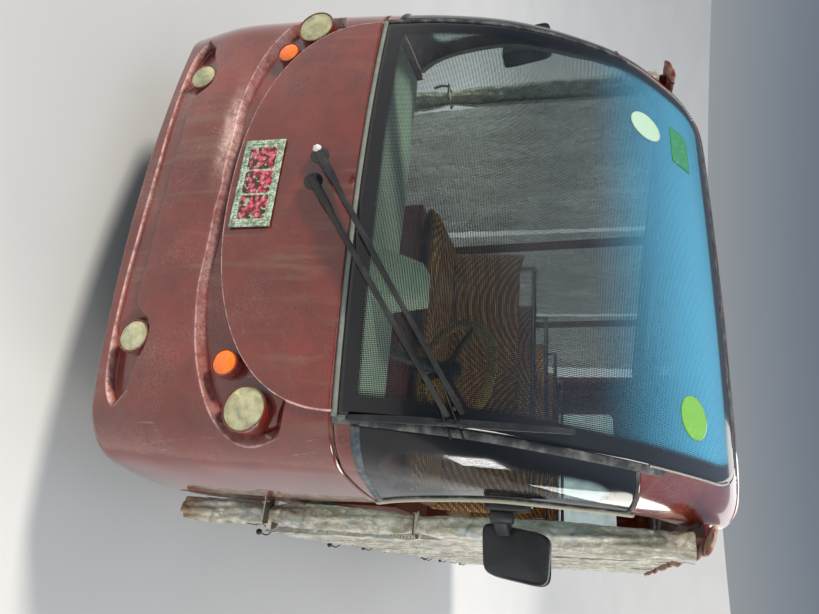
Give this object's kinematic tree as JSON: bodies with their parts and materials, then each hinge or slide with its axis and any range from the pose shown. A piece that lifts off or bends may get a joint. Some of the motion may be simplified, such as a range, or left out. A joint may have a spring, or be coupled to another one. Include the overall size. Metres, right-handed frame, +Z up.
{
  "type": "electric sightseeing bus",
  "caption": "Open-sided electric sightseeing bus with a round nose, large curved windscreen, bench rows, roof, clear side curtains, steered front wheels and a rear service flap.",
  "frame": {"origin": "centre of the overall box on the ground", "axes": "-Y forward out of the nose, +X to the bus's left side, +Z up"},
  "size_m": [1.914, 4.9005, 1.9559],
  "materials": {
    "body_paint": "gloss, scuffed",
    "frame_paint": "satin",
    "interior_maroon": "satin",
    "screen_glass": "polished, tinted at the top",
    "lamp_clear": "aged clear",
    "lamp_amber": "gloss",
    "lamp_red": "gloss",
    "black_plastic": "textured",
    "dash_plastic": "matte",
    "seat_mat": "woven mat",
    "seat_cover": "matte",
    "steel": "satin",
    "rim_paint": "satin",
    "tyre": "worn",
    "mirror": "polished",
    "clear_sheet": "crinkled clear sheet",
    "floor_sheet": "ribbed",
    "plate_enamel": "gloss",
    "battery_case": "matte",
    "motor_case": "cast"
  },
  "bodies": {
    "coach": {"chassis_frame": "frame_paint", "floor_pan": "floor_sheet", "nose_mask": "body_paint", "lamp_housings": "body_paint", "headlamp_lenses": "lamp_clear", "turn_lamp_lenses": "lamp_amber", "fog_lamp_lenses": "lamp_clear", "front_frame": "body_paint", "windscreen": "screen_glass", "corner_windows": "screen_glass", "roof_panel": "body_paint", "rear_frame": "body_paint", "rear_window": "screen_glass", "rear_mask": "body_paint", "tail_lamps": "lamp_red", "side_skirts": "body_paint", "wheel_houses": "frame_paint", "side_frames": "interior_maroon", "curtain_channels": "interior_maroon", "curtains": "clear_sheet", "curtain_bundles": "clear_sheet", "dashboard": "dash_plastic", "steering_column": "black_plastic", "pedals": "steel", "seat_boxes": "interior_maroon", "seat_cushions": "seat_cover", "seat_backs": "seat_mat", "grab_rails": "steel", "battery_packs": "battery_case", "leaf_springs": "frame_paint", "front_axle": "frame_paint", "rear_axle": "frame_paint", "drive_motor": "motor_case", "door_mirrors": "black_plastic", "mirror_glass": "mirror", "wiper": "black_plastic", "nose_plate": "plate_enamel"},
    "rear_flap": {"rear_flap": "body_paint"},
    "steering_wheel": {"steering_wheel": "black_plastic"},
    "knuckle_left": {"knuckle_left": "frame_paint"},
    "knuckle_right": {"knuckle_right": "frame_paint"},
    "tie_rod": {"tie_rod": "steel"},
    "wheel_front_left": {"tyre_front_left": "tyre", "rim_front_left": "rim_paint"},
    "wheel_front_right": {"tyre_front_right": "tyre", "rim_front_right": "rim_paint"},
    "wheel_rear_left": {"tyre_rear_left": "tyre", "rim_rear_left": "rim_paint"},
    "wheel_rear_right": {"tyre_rear_right": "tyre", "rim_rear_right": "rim_paint"}
  },
  "joints": [
    {"name": "steer_left", "type": "hinge", "parent": "coach", "child": "knuckle_left", "pos_m": [0.6, -1.55, 0.27], "axis": [0, 0, 1], "range_deg": [-30, 30]},
    {"name": "steer_right", "type": "hinge", "parent": "coach", "child": "knuckle_right", "pos_m": [-0.6, -1.55, 0.27], "axis": [0, 0, 1], "range_deg": [-30, 30]},
    {"name": "tie_rod_pivot", "type": "hinge", "parent": "knuckle_left", "child": "tie_rod", "pos_m": [0.6, -1.46, 0.206], "axis": [0, 0, 1], "range_deg": [-30, 30]},
    {"name": "wheel_front_left_spin", "type": "hinge", "parent": "knuckle_left", "child": "wheel_front_left", "pos_m": [0.655, -1.55, 0.27], "axis": [1, 0, 0], "continuous": true},
    {"name": "wheel_front_right_spin", "type": "hinge", "parent": "knuckle_right", "child": "wheel_front_right", "pos_m": [-0.655, -1.55, 0.27], "axis": [1, 0, 0], "continuous": true},
    {"name": "wheel_rear_left_spin", "type": "hinge", "parent": "coach", "child": "wheel_rear_left", "pos_m": [0.655, 1.15, 0.27], "axis": [1, 0, 0], "continuous": true},
    {"name": "wheel_rear_right_spin", "type": "hinge", "parent": "coach", "child": "wheel_rear_right", "pos_m": [-0.655, 1.15, 0.27], "axis": [1, 0, 0], "continuous": true},
    {"name": "steering_wheel_turn", "type": "hinge", "parent": "coach", "child": "steering_wheel", "pos_m": [0.27, -1.55, 1.02], "axis": [0, 0.8192, 0.5736], "range_deg": [-480, 480]},
    {"name": "rear_flap_hinge", "type": "hinge", "parent": "coach", "child": "rear_flap", "pos_m": [0, 2.44, 0.811], "axis": [1, 0, 0], "range_deg": [0, 75]}
  ],
  "couplings": [
    {"joint": "steer_right", "follows": "steer_left", "ratio": 1},
    {"joint": "tie_rod_pivot", "follows": "steer_left", "ratio": -1},
    {"joint": "steering_wheel_turn", "follows": "steer_left", "ratio": 16}
  ]
}
